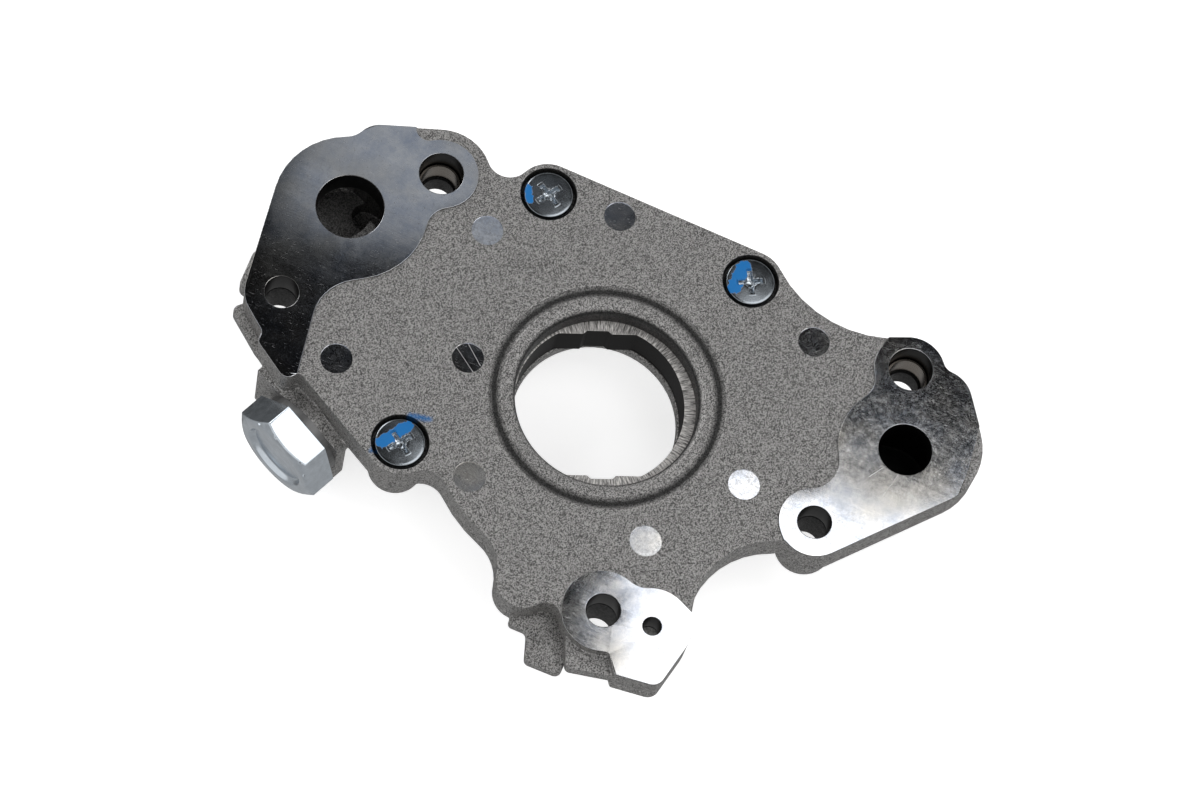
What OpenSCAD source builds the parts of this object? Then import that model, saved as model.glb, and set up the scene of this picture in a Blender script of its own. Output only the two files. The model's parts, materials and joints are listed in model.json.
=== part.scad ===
// Crank-driven gerotor oil pump: die-cast cover and body, sintered rotors, relief valve in the body.
// The origin is on the shaft axis, in the machined face of the body's hub. Z points to the cover's
// mounting pads and X runs along the line of the two dowel holes. All sizes are in millimetres.

/* [Castings] */
// Thickness of the cover below its cast face
cover_t = 6.8; // [6:0.1:9]
// Height of the machined pads above the cast face
pad_rise = 0.5; // [0.3:0.1:1]
// Height of the split between body and cover above the hub face
split_z = 14; // [13.4:0.2:17]
// Thickness of the body's flange under the split
flange_t = 3.2; // [2.4:0.2:4.6]
// Wall of the drum round the rotor pocket
drum_wall = 4.2; // [3.6:0.1:5]
// Radius of the drum's lower edge
drum_edge_r = 2.5; // [1:0.1:3]
// Wall between the rotor pocket and the open passages beside it
passage_wall = 3.6; // [3:0.1:4.4]
// Height of the thinned shelf beside the lower pad, above the split
shelf_t = 4.2; // [3:0.2:5]
// Depth of the ejector pin marks
pin_mark_depth = 0.25; // [0.1:0.05:0.5]
// Diameter of the ejector pin marks
pin_mark_d = 8; // [6:0.5:9]
// Width of the stiffening ribs under the flange
rib_w = 3; // [2:0.5:4]
// Height of the stiffening ribs under the flange
rib_h = 6; // [3:0.5:7]
// How much wider the bosses are at the flange than at their lower face, on the radius
boss_draft = 0.6; // [0:0.1:1]

/* [Shaft passage] */
// Diameter of the crankshaft where it drives the pump
shaft_d = 41.4; // [38:0.2:44]
// Gap between the shaft and the body's bore
shaft_gap = 0.2; // [0.1:0.05:0.5]
// Width of the machined hub face round the body's bore
hub_w = 5.6; // [4.6:0.1:7]
// Height of the hub face over the drum's own bottom
hub_rise = 0.8; // [0.4:0.1:1.5]
// Step from the body's bore out to the cast hole in the cover
cover_hole_step = 2; // [1.8:0.1:3]
// Distance of the cast hole from the shaft axis, along X
cast_offset = 1.3; // [0:0.1:1.4]
// Radius of the rounded lip of the cast hole
lip_r = 2.4; // [1:0.1:3]
// Step from the edge of the cast hole out to the middle of the moulded ring
ring_step = 5.3; // [4.4:0.1:6.2]
// Width of the moulded ring
ring_w = 3.2; // [2.4:0.1:4]
// Depth of the moulded ring
ring_depth = 0.8; // [0.4:0.1:1.1]

/* [Mounting holes and ports] */
// Diameter of the clearance holes for the mounting bolts
bolt_hole_d = 8.4; // [8:0.1:9]
// Room between a bolt hole's wall and the inside of a ring dowel
dowel_room = 0.55; // [0.3:0.05:0.8]
// Wall of the hollow ring dowels
dowel_wall = 0.75; // [0.6:0.05:0.9]
// Length of the ring dowels in the body
dowel_in_body = 5; // [4:0.5:7]
// Length of the ring dowels in the cover
dowel_in_cover = 1.3; // [1:0.1:3]
// Diameter of the delivery port in the left pad
delivery_d = 17; // [15:0.5:18]
// Diameter of the suction port in the right pad
suction_d = 13.4; // [12:0.2:15]
// Diameter of the small hole in the lower pad
small_hole_d = 4.8; // [4:0.1:5.5]
// Chamfer at the mouths of the machined holes
mouth_chamfer = 0.15; // [0.1:0.05:0.5]

/* [Rotors] */
// Thickness of both rotors
rotor_t = 10.2; // [9:0.1:10.4]
// Gap above the rotors, under the cover
end_gap = 0.06; // [0.03:0.01:0.1]
// Number of lobes of the inner rotor
inner_lobes = 9; // [8:1:9]
// Distance between the two rotor axes
eccentricity = 3; // [2.7:0.1:3.3]
// Radius of each tooth of the outer rotor
tooth_r = 6.5; // [5.9:0.1:7.1]
// Gap between the two rotors where they mesh
mesh_gap = 0.12; // [0.08:0.02:0.2]
// Wall of the inner rotor between its drive bore and its valleys
rotor_wall = 5.7; // [5.2:0.1:6.3]
// Wall of the outer rotor outside its roots
rim_t = 4.3; // [3.4:0.1:5.2]
// Running gap round the outer rotor
running_gap = 0.08; // [0.05:0.01:0.1]
// Gap between the shaft and the inner rotor's drive bore
drive_gap = 0.6; // [0.4:0.1:0.9]
// Depth of the two drive flats inside the drive bore
flat_depth = 2.4; // [1.8:0.1:3]
// Width of the relief notch in each flat
notch_w = 5.4; // [4:0.2:7]
// Depth of the relief notch in each flat
notch_depth = 0.85; // [0.4:0.05:1.2]
// Turn of the drive flats from the X axis
flats_turn = 23.2; // [0:0.1:45]

/* [Relief valve] */
// Diameter of the relief piston
piston_d = 13.9; // [13:0.1:14]
// Radial gap of the piston in its bore
piston_gap = 0.04; // [0.02:0.01:0.1]
// Length of the relief piston
piston_l = 18; // [16:0.5:20]
// Travel of the relief piston at full opening
piston_travel = 8; // [6:0.5:8.5]
// Room between the piston at full opening and the plug's shank
stop_gap = 1.7; // [1:0.1:2.5]
// Wall of the relief valve barrel
barrel_wall = 3.2; // [2.6:0.1:3.6]
// Diameter of the pressure feed hole
feed_d = 7; // [5:0.5:8]
// Diameter of the spill hole
spill_d = 7; // [5:0.5:8]
// Diameter of the plug's threaded shank
plug_thread_d = 16; // [15.8:0.1:17]
// Length of the plug's shank
plug_shank_l = 11.5; // [9:0.5:11.5]
// Distance across the flats of the plug's hexagon
hex_af = 23.7; // [22:0.1:25]
// Height of the plug's hexagon
hex_h = 8.2; // [6:0.2:10]
// Turn of the hexagon about the plug's axis
hex_turn = 17.3; // [0:0.5:60]
// Thickness of the sealing washer
washer_t = 2; // [1:0.1:2.5]
// Outer diameter of the sealing washer
washer_d = 22.6; // [21:0.2:24]
// Wire diameter of the relief spring
wire_d = 1.6; // [1.2:0.1:1.8]
// Outer diameter of the relief spring
spring_d = 9.8; // [9:0.1:10]
// Number of turns of the relief spring
spring_turns = 8; // [6:1:10]

/* [Cover screws] */
// Diameter of the screw's thread
screw_d = 6; // [5.6:0.1:6.4]
// Diameter of the screw's pan head
screw_head_d = 12.3; // [11:0.1:13]
// Height of the screw's pan head
screw_head_h = 3.7; // [3:0.1:4.2]
// Length of the screw under its head
screw_l = 13; // [10:0.5:14]
// Room round the head in its counterbore, on the radius
head_room = 1.05; // [0.6:0.05:1.3]
// Depth of the head's top below the cast face
head_sink = 0.3; // [0.1:0.1:0.8]
// Metal left under the end of a screw, and room for its tip above that
boss_floor = 0.8; // [0.6:0.1:1.4]
tip_room = 0.5;

/* [Hidden] */
$fn = 72;
// Largest turn of one straight piece of an outline's arc, in degrees
arc_step = 10;
// Overrun of a cut past the face it leaves
over = 1;
// Clearance of a screw or plug in its tapped hole, and of a dowel in the cover
thread_gap = 0.05;
dowel_gap = 0.04;

// Rotors, worked out from the shaft outwards
drive_r = shaft_d / 2 + drive_gap;
valley_r = drive_r + rotor_wall;
tooth_circle_r = valley_r + tooth_r + eccentricity;
root_gap = 0.1;
root_r = tooth_circle_r - tooth_r + 2 * eccentricity + root_gap;
rotor_r = root_r + rim_t;
pocket_r = rotor_r + running_gap;
drum_r = pocket_r + drum_wall;
outer_centre = [0, eccentricity];
kidney_inner_r = valley_r + 0.3;
kidney_outer_r = root_r - 0.5;

// Shaft passage, worked out from the shaft outwards
shaft_bore_r = shaft_d / 2 + shaft_gap;
hub_r = shaft_bore_r + hub_w;
cover_hole_r = shaft_bore_r + cover_hole_step;
ring_r = cover_hole_r + ring_step;
cast_centre = [cast_offset, 0];

// Places of the holes and ports, measured from the shaft axis
dowel_left = [-59.3, 38.2];
dowel_right = [68.2, 38.2];
bolt_left = [-82.9, -8.2];
bolt_right = [60.3, -9.9];
bolt_low = [21, -52.6];
small_hole = [33.4, -51.5];
delivery = [-76.6, 20.2];
suction = [74.4, 17.4];
pin_marks = [[-42.9, 28.9], [-14, 46.5], [-63.7, -18.7], [-34.2, -5], [-21.9, -33.9], [40.8, -7.7],
             [23.9, -31.5], [43.2, 35.2]];
// Cover screws: bearing from the pocket's middle, and distance from its wall
screw_turn = [128, 61, 220.9];
screw_reach = [12.5, 6.4, 13.6];
screws = [for (i = [0 : 2])
    outer_centre + (pocket_r + screw_reach[i]) * [cos(screw_turn[i]), sin(screw_turn[i])]];
dowel_d = bolt_hole_d + 2 * (dowel_room + dowel_wall);
counterbore_d = screw_head_d + 2 * head_room;
counterbore_depth = screw_head_h + head_sink;

// Heights
face_z = split_z + cover_t;
pad_z = face_z + pad_rise;
flange_z = split_z - flange_t;
rib_z = flange_z - rib_h;
floor_z = split_z - rotor_t - end_gap * 2;
kidney_depth = 4.6;
kidney_z = floor_z - kidney_depth;
hump_wall = 3;
hump_z = kidney_z - hump_wall;
pit_z = floor_z + 0.3;
boss_z = 2.5;
screw_tip_z = face_z - counterbore_depth - screw_l;

// Relief valve: its axis runs level, at this bearing, past the wall of the rotor pocket
relief_turn = 246.3;
relief_along = [cos(relief_turn), sin(relief_turn)];
relief_aside = [sin(relief_turn), -cos(relief_turn)];
relief_offset = 4.6;
relief_bore_l = piston_l + piston_travel + stop_gap + plug_shank_l - washer_t;
bore_start = 22.2;
seat_reach = bore_start + relief_bore_l;
relief_seat = outer_centre + (pocket_r + relief_offset) * relief_aside + seat_reach * relief_along;
bore_r = piston_d / 2 + piston_gap;
barrel_r = bore_r + barrel_wall;
relief_z = split_z - barrel_r - 0.3;
barrel_end = 6;
thread_r = plug_thread_d / 2 + thread_gap;
shank_r = plug_thread_d / 2;
tapped_l = plug_shank_l - washer_t + 0.5;
piston_bore_r = spring_d / 2 + 0.3;
piston_crown = 4;
feed_l = 13;
// Depth of the plug's spring socket, measured from the seat face
socket_end = 3;
spring_l = relief_bore_l - piston_crown - socket_end;
// The seat stands in a block with an ear on each side
ear_t = 3.4;
ear_rise = 8.5;
ear_left = 17.5;
ear_right = 11.5;
block_l = 9;
block_right = 8.2;

// An outline is a list of lobes, met anticlockwise. A lobe [x, y, r] is a circle that the outline
// goes round, and straight tangents join two lobes. A number alone between two lobes is the radius
// of a concave fillet that touches both.
function lobe(p, r) = [p.x, p.y, r];
function fillet_at(a, b, f) =
    let (d = norm([b.x - a.x, b.y - a.y]), u = [b.x - a.x, b.y - a.y] / d, ra = a.z + f, rb = b.z + f,
         along = (d * d + ra * ra - rb * rb) / (2 * d), aside = sqrt(max(0, ra * ra - along * along)))
    [a.x + u.x * along + u.y * aside, a.y + u.y * along - u.x * aside, -f];
function circles(lobes) =
    let (n = len(lobes))
    [for (i = [0 : n - 1])
        is_num(lobes[i]) ? fillet_at(lobes[(i + n - 1) % n], lobes[(i + 1) % n], lobes[i]) : lobes[i]];
// Bearing of the radius that meets the tangent from one circle to the next
function tangent_turn(a, b) =
    let (dx = b.x - a.x, dy = b.y - a.y, q = (b.z - a.z) / norm([dx, dy]))
    atan2(dy, dx) + acos(max(-1, min(1, q)));
function full_turn(v) = let (w = ((v % 360) + 360) % 360) w > 330 ? w - 360 : w;
function thinned(p) = [for (i = [0 : len(p) - 1]) if (norm(p[i] - p[(i + 1) % len(p)]) > 0.02) p[i]];
function outline(lobes, grow = 0) =
    let (c = circles(lobes), n = len(c),
         turns = [for (i = [0 : n - 1]) tangent_turn(c[i], c[(i + 1) % n])])
    thinned([for (i = [0 : n - 1])
        let (start = turns[(i + n - 1) % n],
             sweep = c[i].z > 0 ? full_turn(turns[i] - start) : -full_turn(start - turns[i]),
             steps = max(1, ceil(abs(sweep) / arc_step)), r = c[i].z + grow)
        for (j = [0 : steps])
            let (v = start + sweep * j / steps)
            [c[i].x - r * cos(v), c[i].y - r * sin(v)]]);

// A lobe beside the relief valve's seat: its distance aside of the valve's axis and behind the seat
function seat_lobe(aside, behind, r) = lobe(relief_seat + aside * relief_aside - behind * relief_along, r);
// Outline that cover and body share
casting_lobes = [
    lobe(dowel_right, 8.8), 30.6, lobe(screws[1], 8.4), lobe(screws[0], 8.4), 5.5, lobe(dowel_left, 12.6),
    [-75.6, 37.9, 7], 6, lobe(delivery, 19.3), lobe(bolt_left, 9.2), seat_lobe(23, 3.8, -1.6),
    seat_lobe(19.5, 4, 1.7), seat_lobe(10.6, 3.4, 2.6), 1.3, seat_lobe(5.8, 6, 1.5), lobe(screws[2], 8.4), 6,
    [0.2, -8.3, pocket_r - 0.5], 11.4, [0.5, -53.3, 6.9], 3.6, lobe(bolt_low, 10.4), [25.7, -63.4, -1.3],
    [29.9, -65.6, 0.9], [37.8, -62.4, 3.1], lobe(small_hole, 9.7), 22, [51.8, -14.5, 4], 1.5,
    lobe(bolt_right, 8.9), [76.8, 20.5, 16.4], [77.8, 33.7, 8.2], 3.4];
// Machined pads: their free edges run past the casting's outline, which trims them
left_pad_lobes = [
    [-72.6, -27.5, 1.9], [-61.5, -8.1, -12.2], lobe(delivery, 19.7), 6.4, lobe(dowel_left, 9.4), 3.2,
    [-72, 50.5, 2.4], [-76, 62, 1], [-110, 62, 1], [-110, -36, 1], [-73, -36, 1]];
right_pad_lobes = [
    lobe(dowel_right, 9.3), 6.4, lobe(suction, 16.9), 7.8, lobe(bolt_right, 8.9), [65.3, -28, 1],
    [89.3, 0, 1], [66.8, 17.5, 23.9], [87.3, 42, 1], [81.3, 56, 1], [63.3, 53, 1]];
low_pad_lobes = [
    lobe(bolt_low, 10.2), [21.3, -72, 1], [46.3, -72, 1], [51.3, -50, 1], lobe(small_hole, 9.8), 6];
shelf_lobes = [[18.9, -66.9, 1.5], [28.4, -65.1, 1.2], [28, -56, 2], [15.2, -57, 2]];
// Tabs of the body's flange that reach past the cover
upper_tab_lobes = [[-92.9, 2.3, 2], [-92.7, -5.5, 2], [-86, -6, 2], [-86, 3, 2]];
lower_tab_lobes = [[-90.8, -14.2, 2], [-82.6, -21.2, 1.6], [-78, -12, 2], [-84, -9, 3]];
low_tab_lobes = [[1.9, -61.4, 1.2], [4.7, -64.1, -1.5], [9.2, -68.3, 1.5], [15.6, -68, 1.7], [14.5, -58, 3],
                 [3, -56, 3]];
// Passages between the kidneys and the ports
delivery_lobes = [[delivery.x + 2.6, delivery.y + 6.8, 3.4], [-40, 12.5, 3.5], [-37, 21.5, 3]];
suction_lobes = [lobe(suction, suction_d / 2 + 2.5), [38, 18, 3.5], [38, 2, 3.5]];
pit = delivery + [-4.4, 2.3];
pit_r = delivery_d / 2 + 1;

module die_cast() color("#8d8984") children();
module sintered() color("#6b6865") children();
module zinc() color("#b9c0c6") children();

module slab(low, high) translate([0, 0, low]) linear_extrude(high - low) children();
module at(p, z = 0) translate([p.x, p.y, z]) children();
module drill(p, d, low, high) at(p, low) cylinder(d = d, h = high - low);
// Chamfered mouth of a hole that opens upwards at height z
module mouth(p, d, z) at(p, z - mouth_chamfer)
    cylinder(d1 = d, d2 = d + 2 * mouth_chamfer + 0.02, h = mouth_chamfer + 0.01);

// One kidney, between two bearings seen from the shaft axis, over the roots of both rotors
module kidney(from, to, grow = 0) {
    spread = grow * 1.8;
    steps = 12;
    turns = [for (i = [0 : steps]) from - spread + (to - from + 2 * spread) * i / steps];
    outer = [for (v = turns) outer_centre + (kidney_outer_r + grow) * [cos(v), sin(v)]];
    inner = [for (i = [steps : -1 : 0]) (kidney_inner_r - grow) * [cos(turns[i]), sin(turns[i])]];
    polygon(concat(outer, inner));
}
module suction_kidney(grow = 0) kidney(-70, 66, grow);
module delivery_kidney(grow = 0) kidney(114, 250, grow);

// Places its children on the relief valve's axis: their z runs outwards from the seat face
module on_relief_axis(z = 0)
    translate([relief_seat.x, relief_seat.y, relief_z]) rotate([0, 0, relief_turn]) rotate([0, 90, 0])
        translate([0, 0, z]) children();

cover_kidney_depth = 2.6;
module pump_cover() die_cast() difference() {
    union() {
        slab(split_z, pad_z) polygon(outline(casting_lobes));
        slab(split_z, split_z + shelf_t) polygon(outline(shelf_lobes));
    }
    slab(face_z, pad_z + over) difference() {
        square(300, center = true);
        polygon(outline(left_pad_lobes));
        polygon(outline(right_pad_lobes));
        polygon(outline(low_pad_lobes));
    }
    cover_shaft_hole();
    for (p = [dowel_left, dowel_right]) {
        drill(p, dowel_d + 2 * dowel_gap, split_z - over, pad_z + over);
        mouth(p, dowel_d + 2 * dowel_gap, pad_z);
    }
    for (p = [bolt_left, bolt_right, bolt_low]) {
        drill(p, bolt_hole_d, split_z - over, pad_z + over);
        mouth(p, bolt_hole_d, pad_z);
    }
    drill(small_hole, small_hole_d, split_z - over, pad_z + over);
    drill(delivery, delivery_d, split_z - over, pad_z + over);
    mouth(delivery, delivery_d, pad_z);
    drill(suction, suction_d, split_z - over, pad_z + over);
    mouth(suction, suction_d, pad_z);
    for (p = screws) {
        drill(p, screw_d + 0.6, split_z - over, pad_z + over);
        drill(p, counterbore_d, face_z - counterbore_depth, pad_z + over);
    }
    for (p = pin_marks) drill(p, pin_mark_d, face_z - pin_mark_depth, face_z + over);
    slab(split_z - over, split_z + cover_kidney_depth) {
        suction_kidney();
        delivery_kidney();
    }
}

// Cast hole with a rounded lip, and the ring moulded round it
module cover_shaft_hole() {
    ring_section_r = (ring_w * ring_w / 4 + ring_depth * ring_depth) / (2 * ring_depth);
    drill(cast_centre, 2 * cover_hole_r, split_z - over, pad_z + over);
    at(cast_centre, face_z) rotate_extrude() difference() {
        translate([cover_hole_r - over, -lip_r]) square([lip_r + over, lip_r + over]);
        translate([cover_hole_r + lip_r, -lip_r]) circle(lip_r);
    }
    at(cast_centre, face_z + ring_section_r - ring_depth) rotate_extrude()
        translate([ring_r, 0]) circle(ring_section_r);
}

module pump_body() die_cast() difference() {
    union() {
        body_flange();
        body_drum();
        body_bosses();
        relief_barrel();
    }
    body_cuts();
    relief_cuts();
}

upper_tab_drop = 4;
upper_tab_rise = 0.6;
module body_flange() {
    slab(flange_z, split_z) {
        polygon(outline(casting_lobes));
        polygon(outline(lower_tab_lobes));
        polygon(outline(low_tab_lobes));
    }
    slab(flange_z - upper_tab_drop, flange_z + upper_tab_rise) polygon(outline(upper_tab_lobes));
}

// Rotor housing, with humps under the kidneys and the passages to the ports
module body_drum() {
    at(outer_centre, hub_rise) rotate_extrude() {
        square([drum_r - drum_edge_r, split_z - hub_rise]);
        translate([0, drum_edge_r]) square([drum_r, split_z - hub_rise - drum_edge_r]);
        translate([drum_r - drum_edge_r, drum_edge_r]) circle(drum_edge_r);
    }
    cylinder(r = hub_r, h = split_z);
    slab(hump_z, flange_z + over) {
        suction_kidney(hump_wall);
        delivery_kidney(hump_wall);
        polygon(outline(delivery_lobes, hump_wall));
        polygon(outline(suction_lobes, hump_wall));
    }
    drill(pit, 2 * (pit_r + hump_wall), pit_z - hump_wall, flange_z + over);
}

module boss(p, r, low) at(p, low) cylinder(r1 = r, r2 = r + boss_draft, h = flange_z + over - low);
module rib(from, to) slab(rib_z, flange_z + over)
    polygon(outline([lobe(from, rib_w / 2), lobe(to, rib_w / 2)]));

module body_bosses() {
    for (p = [bolt_left, bolt_right, bolt_low]) boss(p, bolt_hole_d / 2 + 3, boss_z);
    boss(small_hole, small_hole_d / 2 + 2.8, rib_z);
    for (p = [dowel_left, dowel_right]) boss(p, dowel_d / 2 + 2.6, boss_z);
    for (p = screws) boss(p, screw_d / 2 + 3.8, screw_tip_z - tip_room - boss_floor);
    rib(bolt_right, [38, -8]);
    rib(bolt_low, [14, -36]);
    rib(small_hole, [24, -34]);
    rib(bolt_left, [-62, 0]);
    rib(bolt_left, [-80, 14]);
    rib(dowel_left, [-38, 22]);
    rib(dowel_left, screws[0]);
    rib(dowel_right, screws[1]);
    rib(dowel_right, [66, 24]);
}

// Barrel of the relief valve, with the block and the two ears of its seat. On this axis x points down
module relief_barrel() {
    on_relief_axis(-relief_bore_l - barrel_end) cylinder(r = barrel_r, h = relief_bore_l + barrel_end);
    on_relief_axis(-ear_t) translate([-ear_rise, -ear_left, 0])
        cube([ear_rise + barrel_r, ear_left + ear_right, ear_t]);
    on_relief_axis(-block_l) translate([-ear_rise, -barrel_r, 0])
        cube([ear_rise, barrel_r + block_right, block_l]);
}

module body_cuts() {
    at(outer_centre, floor_z) cylinder(r = pocket_r, h = split_z);
    translate([0, 0, hump_z - over]) cylinder(r = shaft_bore_r, h = split_z);
    slab(kidney_z, floor_z + over) {
        suction_kidney();
        delivery_kidney();
        polygon(outline(delivery_lobes));
        polygon(outline(suction_lobes));
    }
    difference() {
        slab(kidney_z, split_z + over) {
            polygon(outline(delivery_lobes));
            polygon(outline(suction_lobes));
        }
        at(outer_centre, kidney_z - over) cylinder(r = pocket_r + passage_wall, h = split_z * 2);
    }
    drill(pit, 2 * pit_r, pit_z, split_z + over);
    for (p = [bolt_left, bolt_right, bolt_low]) drill(p, bolt_hole_d, -over, split_z + over);
    drill(small_hole, small_hole_d, -over, split_z + over);
    for (p = [dowel_left, dowel_right]) {
        drill(p, dowel_d, split_z - dowel_in_body, split_z + over);
        drill(p, bolt_hole_d, -over, split_z + over);
    }
    for (p = screws) drill(p, screw_d + 2 * thread_gap, screw_tip_z - tip_room, split_z + over);
}

module relief_cuts() {
    on_relief_axis(-relief_bore_l) cylinder(r = bore_r, h = relief_bore_l + over);
    on_relief_axis(-tapped_l) cylinder(r = thread_r, h = tapped_l + over);
    on_relief_axis(-relief_bore_l - feed_l) cylinder(d = feed_d, h = feed_l + over);
    on_relief_axis(-relief_bore_l + spill_d / 2 + piston_crown) rotate([0, 90, 0])
        cylinder(d = spill_d, h = barrel_r + over);
}

// Inner rotor: the curve that rolls inside the ring of round teeth, shifted by the eccentricity
teeth = inner_lobes + 1;
// How strongly the curve's points are drawn into the valleys, where it turns fastest
crowding = 0.85;
function inner_point(w) =
    let (v = w - crowding * 180 / PI * sin(inner_lobes * w) / inner_lobes, r = tooth_r + mesh_gap / 2,
         k = tooth_circle_r / (eccentricity * teeth),
         lean = atan2(sin(inner_lobes * v), k - cos(inner_lobes * v)))
    [tooth_circle_r * cos(v) - r * cos(v - lean) - eccentricity * cos(teeth * v),
     -tooth_circle_r * sin(v) + r * sin(v - lean) + eccentricity * sin(teeth * v)];
inner_steps = 28 * inner_lobes;

module drive_bore() {
    half = drive_r - flat_depth;
    intersection() {
        cylinder(r = drive_r, h = rotor_t + 2 * over);
        translate([-drive_r, -half, -over]) cube([2 * drive_r, 2 * half, rotor_t + 4 * over]);
    }
    for (side = [0, 180]) rotate(side) linear_extrude(rotor_t + 2 * over)
        polygon([[-notch_w / 2 - notch_depth, half - over], [-notch_w / 2 - notch_depth, half],
                 [-notch_w / 2, half + notch_depth], [notch_w / 2, half + notch_depth],
                 [notch_w / 2 + notch_depth, half], [notch_w / 2 + notch_depth, half - over]]);
}

module inner_rotor() sintered() translate([0, 0, floor_z + end_gap]) difference() {
    rotate(-90) linear_extrude(rotor_t)
        polygon([for (i = [0 : inner_steps - 1]) inner_point(360 * i / inner_steps)]);
    rotate(flats_turn) translate([0, 0, -over]) drive_bore();
}

module outer_rotor() sintered() at(outer_centre, floor_z + end_gap) difference() {
    cylinder(r = rotor_r, h = rotor_t);
    translate([0, 0, -over]) rotate(-90) linear_extrude(rotor_t + 2 * over) polygon(outline(tooth_gaps()));
}
// Hole of the outer rotor: round teeth reach in, and a flat root with two round corners lies
// between each two teeth
function polar(r, v) = [r * cos(v), r * sin(v)];
function turned(p, v) = [p.x * cos(v) - p.y * sin(v), p.x * sin(v) + p.y * cos(v)];
function tooth_gaps() =
    let (pitch = 360 / teeth, corner_r = 1.8,
         corner = [root_r - corner_r, tooth_circle_r * sin(pitch / 2) - tooth_r - corner_r - 0.08])
    [for (i = [0 : teeth - 1]) each [
        lobe(polar(tooth_circle_r, i * pitch), mesh_gap / 2 - tooth_r),
        lobe(turned([corner.x, -corner.y], (i + 0.5) * pitch), corner_r),
        lobe(turned(corner, (i + 0.5) * pitch), corner_r)]];

groove_r = 0.45;
module relief_piston() zinc() on_relief_axis(-relief_bore_l) difference() {
    union() {
        cylinder(d1 = piston_d - 1, d2 = piston_d, h = 0.5);
        translate([0, 0, 0.5]) cylinder(d = piston_d, h = piston_l - 0.5);
    }
    translate([0, 0, piston_crown]) cylinder(r = piston_bore_r, h = piston_l);
    translate([0, 0, piston_l - 4]) rotate_extrude() translate([piston_d / 2, 0]) circle(groove_r);
}

// Coil spring: rings of points carried along a helix
module relief_spring() color("#9a9da1") on_relief_axis(-relief_bore_l + piston_crown) {
    sides = 8;
    per_turn = 18;
    rings = spring_turns * per_turn;
    wire_r = wire_d / 2;
    coil_r = spring_d / 2 - wire_r;
    rise = (spring_l - wire_d) / rings;
    slope = atan2(rise * per_turn, 2 * PI * coil_r);
    points = [for (i = [0 : rings]) for (j = [0 : sides - 1])
        let (v = 360 * i / per_turn, w = 360 * j / sides,
             out = coil_r + wire_r * cos(w), up = wire_r * sin(w))
            [out * cos(v) + up * sin(slope) * sin(v), out * sin(v) - up * sin(slope) * cos(v),
             wire_r + rise * i + up * cos(slope)]];
    walls = [for (i = [0 : rings - 1]) for (j = [0 : sides - 1])
        let (a = i * sides + j, b = i * sides + (j + 1) % sides) [a, b, b + sides, a + sides]];
    ends = [[for (j = [sides - 1 : -1 : 0]) j], [for (j = [0 : sides - 1]) rings * sides + j]];
    polyhedron(points, concat(walls, ends), convexity = 10);
}

// Hexagon plug, whose outer end is turned to a cone and has a shallow round recess
module relief_plug() zinc() on_relief_axis(washer_t) difference() {
    crown_r = hex_af / 2 - 0.6;
    recess_depth = 1.4;
    recess_r = hex_af / 2 - 2.75;
    union() {
        intersection() {
            rotate(hex_turn) cylinder(d = hex_af / cos(30), h = hex_h, $fn = 6);
            cylinder(r1 = crown_r + hex_h / tan(30), r2 = crown_r, h = hex_h);
        }
        translate([0, 0, -plug_shank_l]) cylinder(r = shank_r, h = plug_shank_l + over);
    }
    translate([0, 0, -plug_shank_l - over])
        cylinder(r = piston_bore_r + 0.2, h = plug_shank_l + over - washer_t - socket_end);
    translate([0, 0, hex_h - recess_depth])
        cylinder(r1 = recess_r - 1, r2 = recess_r, h = recess_depth + 0.01);
}

module plug_washer() color("#a9adb1") on_relief_axis() difference() {
    cylinder(d = washer_d, h = washer_t);
    translate([0, 0, -over]) cylinder(r = shank_r + 0.15, h = washer_t + 2 * over);
}

// Pan-head screw with a domed head and a cross recess
module cover_screw(p) zinc() at(p, face_z - counterbore_depth) difference() {
    dome = 1.1;
    dome_r = (screw_head_d * screw_head_d / 4 + dome * dome) / (2 * dome);
    cross_l = screw_head_d / 2;
    cross_w = 1.2;
    cross_depth = 1.9;
    union() {
        intersection() {
            cylinder(d = screw_head_d, h = screw_head_h);
            translate([0, 0, screw_head_h - dome_r]) sphere(dome_r);
        }
        translate([0, 0, -screw_l]) cylinder(d = screw_d, h = screw_l + over);
    }
    for (turn = [45, 135]) rotate(turn) translate([-cross_l / 2, -cross_w / 2, screw_head_h - cross_depth])
        cube([cross_l, cross_w, cross_depth + over]);
    translate([0, 0, screw_head_h - cross_depth - 0.3]) cylinder(r1 = 0.9, r2 = 1.8, h = cross_depth + 0.4);
}
module cover_screw_1() cover_screw(screws[0]);
module cover_screw_2() cover_screw(screws[1]);
module cover_screw_3() cover_screw(screws[2]);

module ring_dowel(p) color("#c9ccd0") at(p, split_z - dowel_in_body) rotate_extrude() {
    outer = dowel_d / 2;
    long = dowel_in_body + dowel_in_cover;
    edge = 0.3;
    polygon([[outer - dowel_wall, 0], [outer - edge, 0], [outer, edge], [outer, long - edge],
             [outer - edge, long], [outer - dowel_wall, long]]);
}
module ring_dowel_left() ring_dowel(dowel_left);
module ring_dowel_right() ring_dowel(dowel_right);

pump_body();
pump_cover();
inner_rotor();
outer_rotor();
relief_piston();
relief_spring();
relief_plug();
plug_washer();
cover_screw_1();
cover_screw_2();
cover_screw_3();
ring_dowel_left();
ring_dowel_right();
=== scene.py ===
# %% [markdown]
# # Dressing a crank-driven oil pump
# The pump is a flat aluminium die casting: a cover with three machined pads, screwed onto a body
# that holds a pair of rotors and a relief valve. Its sizes are settled in the imported frame, so
# this lesson only gives it light, rounded edges and finishes, and never moves a part.

# %% Load the frame, with a way to read each node's box
import json
import math
import bmesh
import bpy
import numpy as np
from mathutils import Matrix, Vector

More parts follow.
